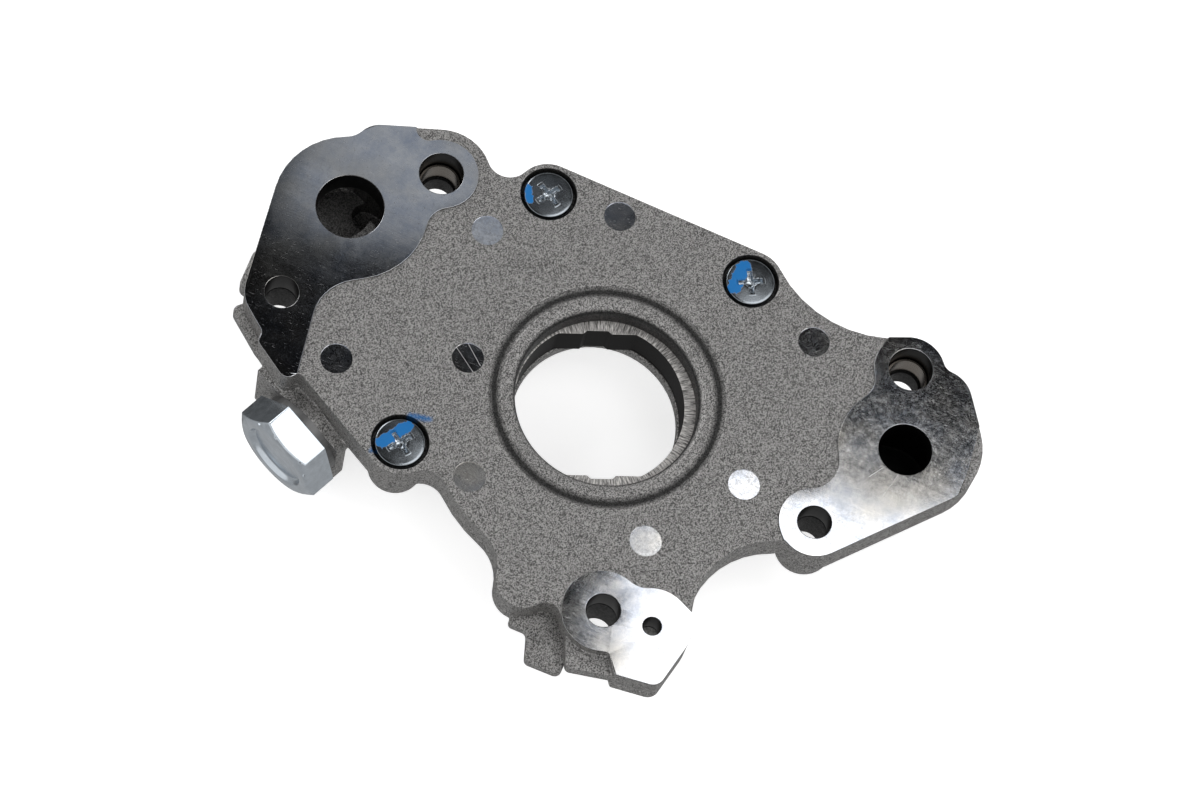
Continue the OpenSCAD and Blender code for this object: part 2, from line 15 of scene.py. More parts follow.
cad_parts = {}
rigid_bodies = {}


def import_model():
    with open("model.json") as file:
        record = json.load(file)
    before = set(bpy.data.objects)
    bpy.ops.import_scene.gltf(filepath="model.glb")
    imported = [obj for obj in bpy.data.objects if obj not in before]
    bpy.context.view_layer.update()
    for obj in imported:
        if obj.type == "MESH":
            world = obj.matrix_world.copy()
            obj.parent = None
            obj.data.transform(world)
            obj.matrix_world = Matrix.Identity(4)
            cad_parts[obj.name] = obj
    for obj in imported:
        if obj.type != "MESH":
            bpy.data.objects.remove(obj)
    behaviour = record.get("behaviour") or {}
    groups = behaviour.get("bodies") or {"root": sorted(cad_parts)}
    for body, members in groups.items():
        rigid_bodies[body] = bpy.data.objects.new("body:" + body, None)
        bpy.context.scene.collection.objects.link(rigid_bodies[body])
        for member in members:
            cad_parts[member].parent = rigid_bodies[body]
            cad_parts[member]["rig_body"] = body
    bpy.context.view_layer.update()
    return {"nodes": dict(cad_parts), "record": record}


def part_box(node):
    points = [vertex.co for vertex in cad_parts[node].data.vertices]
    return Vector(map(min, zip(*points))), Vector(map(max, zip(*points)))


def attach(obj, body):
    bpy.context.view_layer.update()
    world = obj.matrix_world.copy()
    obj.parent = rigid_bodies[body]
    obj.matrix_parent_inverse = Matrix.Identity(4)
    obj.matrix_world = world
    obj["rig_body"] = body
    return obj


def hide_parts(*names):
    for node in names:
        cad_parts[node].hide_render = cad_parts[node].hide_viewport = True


MM = 0.001
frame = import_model()
nodes = frame["nodes"]
print("nodes:", ", ".join(sorted(nodes)))

# %% [markdown]
# ## Where things are
# Heights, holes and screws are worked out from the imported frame: the mounts give the places of
# holes and ports, and the boxes of the nodes give the heights. Plain numbers are millimetres.

# %% Reading the frame in millimetres
def mount(name):
    """A mount of the frame's record."""
    for candidate in frame["record"]["mounts"]:
        if candidate["name"] == name:
            return candidate
    raise KeyError(name)


def mount_place(name):
    """The x and y of a mount."""
    return tuple(metres / MM for metres in mount(name)["pos_m"][:2])


def node_box(name):
    """Lowest and highest corner of a node."""
    low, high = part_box(name)
    return np.array(low) / MM, np.array(high) / MM


def node_axis(name):
    """The x and y of the middle of a node's box."""
    low, high = node_box(name)
    return tuple(((low + high) / 2)[:2])


def node_radius(name):
    """Half of a round node's width."""
    low, high = node_box(name)
    return (high[0] - low[0]) / 2


# %% Heights
PAD_RISE = 0.5
PAD_Z = node_box("pump_cover")[1][2]
FACE_Z = PAD_Z - PAD_RISE
SPLIT_Z = node_box("pump_cover")[0][2]
ROTOR_TOP = node_box("inner_rotor")[1][2]
SCREW_TOP = node_box("cover_screw_1")[1][2]
FLOOR_Z = min(node_box(name)[0][2] for name in nodes)
print("pads at", round(PAD_Z, 2), "split at", round(SPLIT_Z, 2), "floor at", round(FLOOR_Z, 2))

# %% Holes, screws and pin marks
BOLT_HOLES = [mount_place(name) for name in ("bolt_hole_left", "bolt_hole_right", "bolt_hole_low")]
BOLT_HOLE_R = mount("bolt_hole_left")["dims"]["r_mm"]
SMALL_HOLE = mount_place("small_hole")
SMALL_HOLE_R = mount("small_hole")["dims"]["r_mm"]
DOWELS = [mount_place(name) for name in ("dowel_left", "dowel_right")]
DOWEL_R = node_radius("ring_dowel_left")
DELIVERY = mount_place("delivery_port")
DELIVERY_R = 8.5
SUCTION = mount_place("suction_port")
SUCTION_R = 6.7
SCREW_NAMES = ["cover_screw_1", "cover_screw_2", "cover_screw_3"]
SCREWS = [node_axis(name) for name in SCREW_NAMES]
SCREW_R = node_radius("cover_screw_1")
PIN_MARKS = [(-42.9, 28.9), (-14, 46.5), (-63.7, -18.7), (-34.2, -5), (-21.9, -33.9), (40.8, -7.7),
             (23.9, -31.5), (43.2, 35.2)]
PIN_MARK_R = 4.0
print(len(BOLT_HOLES), "bolt holes,", len(DOWELS), "dowels,", len(PIN_MARKS), "pin marks")

# %% [markdown]
# ## The camera
# The photograph was taken from high above the pads with a long lens. A camera could be aimed at
# the pump and nudged until it looks right, but the pads are flat and the holes are round, so its
# place and turn were solved from them. They are given as its own three axes.

# %% Camera
CAMERA_PLACE = (35.9, -408.2, 990.9)
CAMERA_RIGHT = (0.9219, 0.3683, 0.1201)
CAMERA_UP = (-0.3859, 0.8457, 0.3686)
CAMERA_BACK = (0.0342, -0.3862, 0.9218)
CAMERA_LENS = 127.74
CAMERA_SENSOR = 36
CAMERA_CLIP = 10


def add_camera():
    """Camera at the photograph's place: the columns of its matrix are its own three axes."""
    data = bpy.data.cameras.new("photo_camera")
    data.sensor_width = CAMERA_SENSOR
    data.lens = CAMERA_LENS
    data.clip_start = CAMERA_CLIP * MM
    camera = bpy.data.objects.new("photo_camera", data)
    bpy.context.scene.collection.objects.link(camera)
    turn = Matrix((CAMERA_RIGHT, CAMERA_UP, CAMERA_BACK)).transposed()
    camera.matrix_world = Matrix.Translation(Vector(CAMERA_PLACE) * MM) @ turn.to_4x4()
    bpy.context.scene.camera = camera


add_camera()
bpy.context.scene.view_settings.view_transform = "Standard"
print("camera", round(Vector(CAMERA_PLACE).length, 1), "mm from the shaft axis")

# %% [markdown]
# ## Writing materials as sums
# A shader is a small program. Wrapping a socket in a class that knows how to add and multiply
# lets a finish be written the way it is thought of: grain plus scratches, times a mask.

# %% Shader sockets that do arithmetic
class Value:
    """A number in a shader. Adding, taking away, multiplying and dividing add Math nodes."""

    def __init__(self, finish, socket):
        self.finish = finish
        self.socket = socket

    def math(self, operation, *others, **settings):
        inputs = dict(enumerate((self,) + others))
        return self.finish.node("ShaderNodeMath", inputs, operation=operation, **settings)

    def __add__(self, other):
        return self.math("ADD", other)

    def __sub__(self, other):
        return self.math("SUBTRACT", other)

    def __rsub__(self, other):
        return (self * -1) + other

    def __mul__(self, other):
        return self.math("MULTIPLY", other)

    def __truediv__(self, other):
        return self.math("DIVIDE", other)

    def clipped(self):
        """Held between 0 and 1."""
        return self.math("ADD", 0.0, use_clamp=True)

    def above(self, edge, soft):
        """0 below edge and 1 above it, over a stretch soft wide."""
        return ((self - edge) / soft + 0.5).clipped()

    def below(self, edge, soft):
        """1 below edge and 0 above it."""
        return 1 - self.above(edge, soft)

    __radd__ = __add__
    __rmul__ = __mul__


# %% [markdown]
# ## A material to write on
# Every finish starts in the same way: one Principled shader, and the place on the object in
# millimetres. UV maps could carry the patterns too, but object coordinates need no unwrapping,
# give a pattern its true size, and stay on the metal when a rotor turns.

# %% A finish
MIX_SOCKETS = {"FLOAT": (2, 3, 0), "VECTOR": (4, 5, 1), "RGBA": (6, 7, 2)}


class Finish:
    """A material with one Principled shader. node() adds any node and gives one of its outputs."""

    def __init__(self, name):
        self.material = bpy.data.materials.new(name)
        self.material.use_nodes = True
        self.tree = self.material.node_tree
        self.shader = self.tree.nodes["Principled BSDF"]
        place = self.node("ShaderNodeTexCoord", out="Object")
        self.place = self.node("ShaderNodeVectorMath", {0: place, "Scale": 1 / MM}, operation="SCALE")
        split = self.node("ShaderNodeSeparateXYZ", {0: self.place})
        self.x, self.y, self.z = (Value(self, split.socket.node.outputs[i]) for i in range(3))

    def node(self, kind, inputs=None, out=0, **settings):
        made = self.tree.nodes.new(kind)
        for key, setting in settings.items():
            setattr(made, key, setting)
        for key, value in (inputs or {}).items():
            self.feed(made.inputs[key], value)
        return Value(self, made.outputs[out])

    def feed(self, socket, value):
        """Links a value to a socket, or sets a plain number or colour on it."""
        if isinstance(value, Value):
            self.tree.links.new(value.socket, socket)
        else:
            socket.default_value = value

    def set(self, **values):
        """Feeds the shader's own sockets, with spaces in their names written as _."""
        for key, value in values.items():
            self.feed(self.shader.inputs[key.replace("_", " ")], value)
        print(self.material.name, "has", len(self.tree.nodes), "nodes")
        return self.material

    def noise(self, size, detail=2.0, vector=None, rough=0.5):
        """Noise between 0 and 1 whose lumps are size millimetres across."""
        inputs = {"Vector": vector or self.place, "Scale": 1 / size}
        inputs.update({"Detail": detail, "Roughness": rough})
        return self.node("ShaderNodeTexNoise", inputs, out="Fac")

    def mix(self, amount, first, second, kind="RGBA"):
        """A colour between first and second, or a number or vector where kind says so."""
        first_socket, second_socket, out = MIX_SOCKETS[kind]
        inputs = {0: amount, first_socket: first, second_socket: second}
        return self.node("ShaderNodeMix", inputs, out=out, data_type=kind)

    def bump(self, height, strength, depth):
        """A Bump node: height is 0 to 1, and depth is what 1 means in millimetres."""
        inputs = {"Height": height, "Strength": strength, "Distance": depth * MM}
        return self.node("ShaderNodeBump", inputs)


# %% [markdown]
# ## Marks drawn by distance
# A round hole, a groove or a scratch needs no painted picture: it is all that lies near enough to
# a point, a circle or a line, so its mask is a distance cut off at an edge.

# %% Masks, streaks and greys
DISC_SOFT = 0.15


def radius(finish, centre):
    """Distance from a vertical axis."""
    east, north = finish.x - centre[0], finish.y - centre[1]
    return (east * east + north * north).math("SQRT")


def disc(finish, centre, reach):
    """1 inside a circle round a vertical axis, 0 outside."""
    return radius(finish, centre).below(reach, DISC_SOFT)


def stroke(finish, start, end, width, soft, ragged=0.0):
    """1 along the straight line from start to end, with round ends. The distance to the line is
    taken along it, past its ends, and across it; ragged is added, so that noise frays the edge."""
    run = (end[0] - start[0], end[1] - start[1])
    length = math.hypot(*run)
    along_x, along_y = run[0] / length, run[1] / length
    east, north = finish.x - start[0], finish.y - start[1]
    past_middle = (east * along_x + north * along_y - length / 2).math("ABSOLUTE")
    past_end = (past_middle - length / 2).math("MAXIMUM", 0.0)
    across = east * along_y - north * along_x
    gap = (past_end * past_end + across * across).math("SQRT") + ragged
    return gap.below(width / 2, soft)


def streaks(finish, turn, along, across, detail):
    """Noise drawn out into streaks. along and across are their length and width, and turn is
    their direction in the pads' plane, in degrees."""
    inputs = {0: finish.place, "Scale": (1 / along, 1 / across, 1)}
    inputs["Rotation"] = (0, 0, math.radians(turn))
    return finish.noise(1.0, detail=detail, vector=finish.node("ShaderNodeMapping", inputs))


def either(*masks):
    """The largest of several masks."""
    total = masks[0]
    for mask in masks[1:]:
        total = total.math("MAXIMUM", mask)
    return total


def grey(level, warm=0.0):
    """A grey with a little more red and less blue where warm is above 0."""
    return (level * (1 + warm), level, level * (1 - warm), 1)


# %% [markdown]
# ## The floor
# The photograph has a white ground that fades into nothing, with faint shadows close to the pump.
# A white world alone would lose the shadows, and a plain pale floor would make them too dark, so
# the plane also glows a little. Only the camera sees it, so the pump's sides mirror the dim world
# below the horizon.

# %% Floor
FLOOR_SIDE = 6000
FLOOR_GLOW = 0.62
FLOOR_PALE = (0.9, 0.9, 0.9, 1)
WHITE = (1, 1, 1, 1)


def add_floor():
    """A large square that touches the lowest point of the pump."""
    half = FLOOR_SIDE * MM / 2
    corners = [(x, y, FLOOR_Z * MM) for y in (-half, half) for x in (-half, half)]
    mesh = bpy.data.meshes.new("floor")
    mesh.from_pydata(corners, [], [(0, 1, 3, 2)])
    paper = Finish("lit_paper")
    mesh.materials.append(paper.set(Base_Color=FLOOR_PALE, Roughness=0.9, Specular_IOR_Level=0.1,
                                    Emission_Color=WHITE, Emission_Strength=FLOOR_GLOW))
    floor = bpy.data.objects.new("floor", mesh)
    bpy.context.scene.collection.objects.link(floor)
    floor.visible_glossy = False
    floor.visible_diffuse = False


add_floor()

# %% [markdown]
# ## The world
# The machined pads are mirrors, so most of what they show is the room: a studio whose black
# ceiling has bright panels hung in it. A picture of a studio could light the pump, but a few
# ramps are enough, and each can be set by itself. The world is pale all round and dark in a patch
# overhead, where the pads look, and dimmer below the horizon and in one corner, where the side
# walls look.

# %% World
CEILING_MIRROR = Vector((-0.05, 0.36, 1.0)).normalized()
CEILING_RIM = (0.74, 0.9)
WORLD_PALE = 0.95
WORLD_DARK = 0.005
HORIZON = (-0.1, 0.1)
WORLD_LOW = 0.48
DIM_CORNER = Vector((-0.51, 0.6, -0.62))
DIM_RIM = (0.72, 0.96)
DIM_SHARE = 0.15


def light_world():
    """The world's strength is a product of three ramps, each on the dot product of the view's
    direction with one fixed direction."""
    world = bpy.data.worlds.new("studio")
    bpy.context.scene.world = world
    world.use_nodes = True
    tree = world.node_tree
    direction = tree.nodes.new("ShaderNodeTexCoord")

    def ramp(towards, rim, before, beyond):
        dot = tree.nodes.new("ShaderNodeVectorMath")
        dot.operation = "DOT_PRODUCT"
        dot.inputs[1].default_value = towards
        made = tree.nodes.new("ShaderNodeMapRange")
        made.interpolation_type = "SMOOTHSTEP"
        for key, value in zip(("From Min", "From Max", "To Min", "To Max"), (*rim, before, beyond)):
            made.inputs[key].default_value = value
        tree.links.new(direction.outputs["Generated"], dot.inputs[0])
        tree.links.new(dot.outputs["Value"], made.inputs["Value"])
        return made.outputs["Result"]

    glow = ramp(CEILING_MIRROR, CEILING_RIM, WORLD_PALE, WORLD_DARK)
    for dimmer in (ramp((0, 0, 1), HORIZON, WORLD_LOW, 1), ramp(DIM_CORNER, DIM_RIM, 1, DIM_SHARE)):
        product = tree.nodes.new("ShaderNodeMath")
        product.operation = "MULTIPLY"
        tree.links.new(glow, product.inputs[0])
        tree.links.new(dimmer, product.inputs[1])
        glow = product.outputs["Value"]
    background = tree.nodes["Background"]
    background.inputs["Color"].default_value = WHITE
    tree.links.new(glow, background.inputs["Strength"])


light_world()
print("world:", len(bpy.context.scene.world.node_tree.nodes), "nodes")

# %% [markdown]
# ## The panels
# Two area lights hang in the dark ceiling where the pads mirror them: a large bright one for the
# right and low pads, and a small bluish one for the left pad. They could be glowing planes, but
# area lights give less noise. A third shines from the far left and gives the casting its shape.

# %% Lights
PANEL_HEIGHT = 1500
PANEL_TURN = 6


def add_panel(name, place, size, power, aim=None, turn=0, colour=(1, 1, 1)):
    """An area light, size millimetres wide and tall, turned about its own axis and aimed at a
    point, or else straight down."""
    data = bpy.data.lights.new(name, "AREA")
    data.shape = "RECTANGLE"
    data.size = size[0] * MM
    data.size_y = size[1] * MM
    data.energy = power
    data.color = colour
    panel = bpy.data.objects.new(name, data)
    bpy.context.scene.collection.objects.link(panel)
    panel.location = Vector(place) * MM
    target = aim or (place[0], place[1], 0)
    facing = (Vector(place) - Vector(target)).to_track_quat("Z", "Y").to_matrix()
    panel.rotation_euler = (facing @ Matrix.Rotation(math.radians(turn), 3, "Z")).to_euler()
    panel.visible_camera = False


add_panel("bright_panel", place=(482, 308, PANEL_HEIGHT), size=(900, 700), power=4.2,
          turn=PANEL_TURN)
add_panel("blue_panel", place=(-214, 747, PANEL_HEIGHT), size=(182, 170), power=0.039,
          turn=PANEL_TURN, colour=(0.88, 0.93, 1))
add_panel("key_panel", place=(-800, 620, 900), size=(500, 500), power=3, aim=(0, 0, 10))
print("lights:", [light.name for light in bpy.data.lights])

# %% [markdown]
# ## Rounded edges
# A die casting has no sharp edge: the mould's corners and the blasting leave a radius of a few
# tenths. The frame's solids are sharp. They could be modelled again with round edges, but copies
# with a bevel keep every size, so the two castings, the inner rotor, the plug and the screws are
# shown by such copies. A copy's loose triangles are merged first, so that each edge knows the
# faces on both its sides, and only an edge sharper than the limit gets a weight for the bevel.

# %% Bevelled copies of the frame's solids
MERGE_GAP = 0.002
SHARP_EDGE = math.radians(32)
BEVEL_SEGMENTS = 2
FLAT_WEIGHT = 100


def weighted_mesh(name, share, reshape):
    """A copy of a node's mesh, with merged points and a bevel weight on each sharp edge. reshape
    moves a point and share gives an edge's weight from its middle, both in millimetres. A sharp
    edge with no weight is kept sharp."""
    work = bmesh.new()
    work.from_mesh(nodes[name].data)
    bmesh.ops.remove_doubles(work, verts=work.verts, dist=MERGE_GAP * MM)
    if reshape:
        for vertex in work.verts:
            vertex.co = Vector(reshape(vertex.co / MM)) * MM
    weight = work.edges.layers.float.new("bevel_weight_edge")
    for edge in work.edges:
        if edge.calc_face_angle(0) > SHARP_EDGE:
            middle = (edge.verts[0].co + edge.verts[1].co) / 2 / MM
            edge[weight] = share(middle) if share else 1.0
            edge.smooth = edge[weight] > 0
    mesh = bpy.data.meshes.new(name + "_finished")
    work.to_mesh(mesh)
    work.free()
    mesh.materials.clear()
    mesh.shade_smooth()
    return mesh


def bevelled(name, width, share=None, reshape=None):
    """A copy of a node with rounded edges, width millimetres wide, which stands in for it."""
    body = nodes[name]["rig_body"]
    piece = bpy.data.objects.new(name + "_finished", weighted_mesh(name, share, reshape))
    bpy.context.scene.collection.objects.link(piece)
    bevel = piece.modifiers.new("edge_radius", "BEVEL")
    bevel.width = width * MM
    bevel.segments = BEVEL_SEGMENTS
    bevel.limit_method = "WEIGHT"
    bevel.use_clamp_overlap = False
    bevel.loop_slide = False
    weighted = piece.modifiers.new("flat_faces", "WEIGHTED_NORMAL")
    weighted.weight = FLAT_WEIGHT
    weighted.keep_sharp = True
    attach(piece, body)
    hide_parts(name)
    print(piece.name, len(piece.data.polygons), "faces before the bevel")
    return piece


# %% Castings, inner rotor and plug
MILLED_SHARE = 0.25


def cover_share(place):
    """Pin marks stay sharp, milled edges get a hair of a radius and cast edges get all of it."""
    if any(math.dist(place.xy, mark) < PIN_MARK_R + 0.2 for mark in PIN_MARKS):
        return 0.0
    return MILLED_SHARE if place.z > PAD_Z - PAD_RISE / 2 else 1.0


cover = bevelled("pump_cover", width=0.3, share=cover_share)
body = bevelled("pump_body", width=0.35)
inner = bevelled("inner_rotor", width=0.18)
plug = bevelled("relief_plug", width=0.25)

# %% [markdown]
# ## The screws as they were left
# A driver never leaves three cross recesses in line, and the heads look nearly flat in the
# photograph. The solids could be turned, but they are stock screws that serve elsewhere too, so
# only each copy is turned about its own axis, and its dome is lowered.

# %% Screws
DOME_RISE = 1.1
DOME_SHARE = 0.15
SCREW_TURNS = (14, -17, 10)


def settled_head(axis, turn):
    """Turns a screw about its axis, and brings the points of its dome to a share of their depth
    below the top."""
    centre = Vector(axis)
    spin = Matrix.Rotation(math.radians(turn), 2)

    def reshape(place):
        drop = SCREW_TOP - place.z
        if drop < DOME_RISE + 0.01:
            drop = drop * DOME_SHARE
        return (*(spin @ (place.xy - centre) + centre), SCREW_TOP - drop)

    return reshape


screws = [bevelled(name, width=0.18, reshape=settled_head(axis, turn))
          for name, axis, turn in zip(SCREW_NAMES, SCREWS, SCREW_TURNS)]

# %% [markdown]
# ## Shot-blasted casting
# Up close the cast skin is a fine salt-and-pepper grain, a quarter of a millimetre across: tiny
# dents that catch the light one way or the other. Dents so small could be displaced into the
# mesh, but bump shows them as well for no extra faces. Cells and noise of that size drive the
# colour, the roughness and the bump, with a slow, faint cloud where the metal cooled unevenly.

# %% Cast skin
CAST_GREY = 0.243
CAST_METALLIC = 0.75
GRAIN = 0.22
CLOUD = 26


def cast_skin(finish):
    """Colour, roughness and normal: each cell has its own shade, the grain breaks up the cells,
    and the cloud is added last. Pale cells are smoother."""
    places = {"Vector": finish.place, "Scale": 1 / GRAIN}
    cells = finish.node("ShaderNodeTexVoronoi", places, out="Color")
    grain = finish.noise(GRAIN, detail=1.5, rough=0.6)
    cloud = finish.noise(CLOUD, detail=3)
    light = (cells - 0.5) * 2.5 + (grain - 0.5) * 0.9 + (cloud - 0.5) * 0.12
    dark, pale = grey(CAST_GREY * 0.4, 0.015), grey(CAST_GREY * 1.8, 0.02)
    colour = finish.mix((light + 0.5).clipped(), dark, pale)
    rough = (0.5 - (cells - 0.5) * 0.4).clipped()
    normal = finish.bump(grain * 0.6 + cells * 0.4, 0.8, 0.12)
    return colour, rough, normal


# %% The body, with painted shade in its holes and pits
PIT_R = 12
PIT_DEPTH = 20
BODY_SHADE = grey(0.01)


def cast_body():
    """The cast skin with painted shade: a dark disc round each hole. The suction pit is painted dark
    only above the body's underside, and the delivery pit less than the rest."""
    finish = Finish("cast_body")
    colour, rough, normal = cast_skin(finish)
    # Painted shade: dark discs round the dowel and bolt holes and over the two pits.
    dark = [disc(finish, place, DOWEL_R + 0.4) for place in DOWELS]
    dark += [disc(finish, place, BOLT_HOLE_R + 0.3) for place in BOLT_HOLES]
    dark += [disc(finish, SUCTION, PIT_R) * finish.z.above(SPLIT_Z - PIT_DEPTH, 1)]
    dark += [disc(finish, DELIVERY, PIT_R) * 0.6]
    colour = finish.mix(either(*dark), colour, BODY_SHADE)
    return finish.set(Base_Color=colour, Metallic=CAST_METALLIC, Roughness=rough, Normal=normal)


body.data.materials.append(cast_body())

# %% [markdown]
# ## The cover's painted shade and paint smears
# Painted shade darkens the skin in the ring's groove, down the wall of the shaft hole, round the
# screw heads and on the side wall of each pad. Two smears of the fitter's paint lie beside the
# lowest screw. Cavities could be found by the shader, but each of these has a known place, so each
# is a mask by distance and height.

# %% Painted shade and paint smears
CAST_HOLE = (1.3, 0)
CAST_HOLE_R = 22.9
RING_STEP = 5.3
# A near-black grey for painted shade in hollows and on side walls.
PAINTED_SHADE = grey(0.012)
PAINT_BLUE = (0.0, 0.16, 0.47, 1)
SMEARS = [((-41.3, -25.1), (-36.6, -24.1), 1.3), ((-46.4, -37.5), (-46.2, -36.2), 0.9)]


def shade_and_paint_smears(finish, skin):
    """The skin's colour under painted shade and paint."""
    from_hole = radius(finish, CAST_HOLE)
    off_ring = (from_hole - (CAST_HOLE_R + RING_STEP)).math("ABSOLUTE")
    groove = off_ring.below(1.05, 1.3) * 0.9
    wall = from_hole.below(CAST_HOLE_R + 0.5, 0.6) * finish.z.below(FACE_Z - 0.7, 0.6) * 0.9
    heads = either(*[disc(finish, place, SCREW_R + 1.45) for place in SCREWS])
    counterbores = heads * finish.z.below(FACE_Z - 0.3, 0.3) * 0.8
    pad_step = finish.z.above(FACE_Z + 0.06, 0.08) * 0.7
    # Painted shade in the groove, down the hole's wall, in the counterbores and on the pads' side
    # walls.
    skin = finish.mix(either(groove, wall, counterbores, pad_step), skin, PAINTED_SHADE)
    smears = either(*[stroke(finish, *line, soft=0.9, ragged=finish.noise(0.9) - 0.5)
                      for line in SMEARS])
    return finish.mix(smears * 0.7, skin, PAINT_BLUE)


# %% [markdown]
# ## Where the cover is machined
# The pads are milled and the holes are drilled after casting. The round marks are where the
# mould's ejector pins pushed the casting out, and each is a little more or less worn. Faces could
# be picked out for a second material, but heights and circles tell these places from the cast
# skin with a soft edge, so one material serves the whole cover.

# %% Machined places
HOLE_RIMS = ([(place, DOWEL_R + 0.5) for place in DOWELS]
             + [(place, BOLT_HOLE_R + 0.45) for place in BOLT_HOLES]
             + [(DELIVERY, DELIVERY_R + 0.4), (SUCTION, SUCTION_R + 0.45)]
             + [(SMALL_HOLE, SMALL_HOLE_R + 0.4)])
PIN_MARK_WEAR = [-0.06, 0.03, 0.01, 0.0, 0.1, -0.03, 0.01, 0.0]


def machined_places(finish):
    """Masks of the pads, the holes with their chamfers, and the pin marks, and the roughness that
    wear adds to each mark."""
    on_pad = finish.z.above(PAD_Z - 0.07, 0.04)
    in_hole = either(*[disc(finish, place, rim) for place, rim in HOLE_RIMS])
    marks = [disc(finish, place, PIN_MARK_R + 0.1) for place in PIN_MARKS]
    wear = sum(mark * amount for mark, amount in zip(marks, PIN_MARK_WEAR) if amount)
    in_mark = either(*marks) * finish.z.above(FACE_Z - 0.4, 0.05)
    in_mark = in_mark * finish.z.below(FACE_Z - 0.05, 0.04)
    return on_pad, in_hole, in_mark, in_mark * wear


# %% [markdown]
# ## Smooth metal that has been handled
# A milled face mirrors the room, softened by the cutter's fine marks. Stains shift its colour,
# handling leaves nicks and hair-fine lines, and the right pad is worn more than the left. Noise
# places all of these. The few long scratches are drawn one by one, on the right pad and on one
# of the pin marks.

# %% Milled metal
MILLED_COOL = (0.5, 0.54, 0.62, 1)
MILLED_PALE = (0.82, 0.82, 0.83, 1)
MILLED_BROWN = (0.7, 0.66, 0.58, 1)
MILLED_BARE = (0.98, 0.98, 0.98, 1)
MILLED_ROUGH = 0.08
MILLING_TURN = 18
HAIR_TURNS = (35, 110, 160)
WORN_FROM_X = 50
SCRATCHES = [((68.6, 7), (71, 10.8), 0.12), ((73.4, 3.5), (75.1, 10.5), 0.06),
             ((-38, -3.4), (-31.2, -8.2), 0.1), ((-35.6, -1.4), (-30.6, -5.6), 0.12)]


def milling(finish):
    """Fine tool marks: streaks a quarter of a millimetre wide, over broader ones."""
    fine = streaks(finish, MILLING_TURN, 40, 0.25, detail=3)
    broad = streaks(finish, MILLING_TURN + 7, 60, 2.4, detail=2)
    return fine * 0.65 + broad * 0.35


def milled_metal(finish, on_pad, in_hole, in_mark, wear):
    """Colour, roughness and normal. The colour is mixed from cool to pale by the stains, then brown,
    rubbed, scratched and, in the holes and their chamfers, painted with shade. The roughness adds up
    the same marks, and scratches, hairs and nicks are at least as rough as their own value."""
    tool_marks = milling(finish)
    stain = finish.noise(5, detail=5, rough=0.7)
    brown = finish.noise(16, detail=2).above(0.55, 0.25)
    rubbed = finish.noise(0.8, detail=4, rough=0.75).above(0.52, 0.2) * in_mark
    nicks = finish.noise(0.5, detail=3, rough=0.7).above(0.66, 0.06)
    hairs = either(*[streaks(finish, turn, 2.4, 0.08, detail=1).above(0.76, 0.05)
                     for turn in HAIR_TURNS])
    scratches = either(*[stroke(finish, *line, soft=line[2]) for line in SCRATCHES])
    # The drilled holes and chamfers: their extra roughness is real, their dark colour is painted
    # shade.
    drilled_and_shaded = in_hole * finish.z.below(PAD_Z - 0.015, 0.02)
    worn = finish.x.above(WORN_FROM_X, 20)
    web = finish.noise(1.1, detail=6, rough=0.85).above(0.54, 0.12) * (worn * 0.7 + 0.3) * on_pad

    colour = finish.mix(stain.above(0.5, 0.35), MILLED_COOL, MILLED_PALE)
    colour = finish.mix(brown * 0.6, colour, MILLED_BROWN)
    colour = finish.mix(rubbed * 0.35, colour, grey(0.35))
    colour = finish.mix(either(scratches, nicks * 0.35, hairs * 0.3), colour, MILLED_BARE)
    # Painted shade inside the drilled holes and on their chamfers.
    colour = finish.mix(drilled_and_shaded, colour, grey(0.025))
    rough = (tool_marks - 0.5) * 0.06 + (stain - 0.5) * 0.05 + MILLED_ROUGH
    rough = rough + drilled_and_shaded * 0.3 + wear + rubbed * 0.05 + worn * 0.01 + web * 0.05
    rough = rough.math("MAXIMUM", either(scratches * 0.5, hairs * 0.28, nicks * 0.24))
    normal = finish.bump(tool_marks + scratches * 2 + stain * 0.4, 0.08, 0.012)
    return colour, rough, normal


# %% The cover's finish
def cast_cover():
    """The cast skin with painted shade and smears, and the smooth metal where a mask says it was
    machined.
    """
    finish = Finish("cast_cover")
    skin, skin_rough, skin_normal = cast_skin(finish)
    on_pad, in_hole, in_mark, wear = machined_places(finish)
    metal, metal_rough, metal_normal = milled_metal(finish, on_pad, in_hole, in_mark, wear)
    machined = either(on_pad, in_hole, in_mark)
    colour = finish.mix(machined, shade_and_paint_smears(finish, skin), metal)
    metallic = machined * (1 - CAST_METALLIC) + CAST_METALLIC
    rough = finish.mix(machined, skin_rough, metal_rough, kind="FLOAT")
    normal = finish.mix(machined, skin_normal, metal_normal, kind="VECTOR")
    return finish.set(Base_Color=colour, Metallic=metallic, Roughness=rough, Normal=normal)


cover.data.materials.append(cast_cover())

# %% [markdown]
# ## Zinc plating, with the fitter's paint
# The screws and the plug are steel with a bright blue-white zinc coat, which is smooth but
# slightly wavy; the plug's copy is lighter and the screws' copy darker, painted light and shade.
# A fitter dabbed blue paint across each screw once it was tight, and the recesses carry a painted
# highlight. The dabs could be thin pieces of their own, but paint this thin shows only as colour,
# so it is a mask in the screws' finish.

# %% Zinc plating
ZINC_COOL = -0.08
# One zinc coat in two shades: lighter on the plug, darker on the screws, painted light and shade.
PLUG_SHADE = 0.62
SCREW_SHADE = 0.33
RECESS_HIGHLIGHT = 0.55
DABS = [((-37.9, 44.3), (-36.4, 41.1), 1.9), ((19.4, 40.9), (19.9, 47), 3.6),
        ((-45, -34.2), (-40.9, -28), 3.1)]


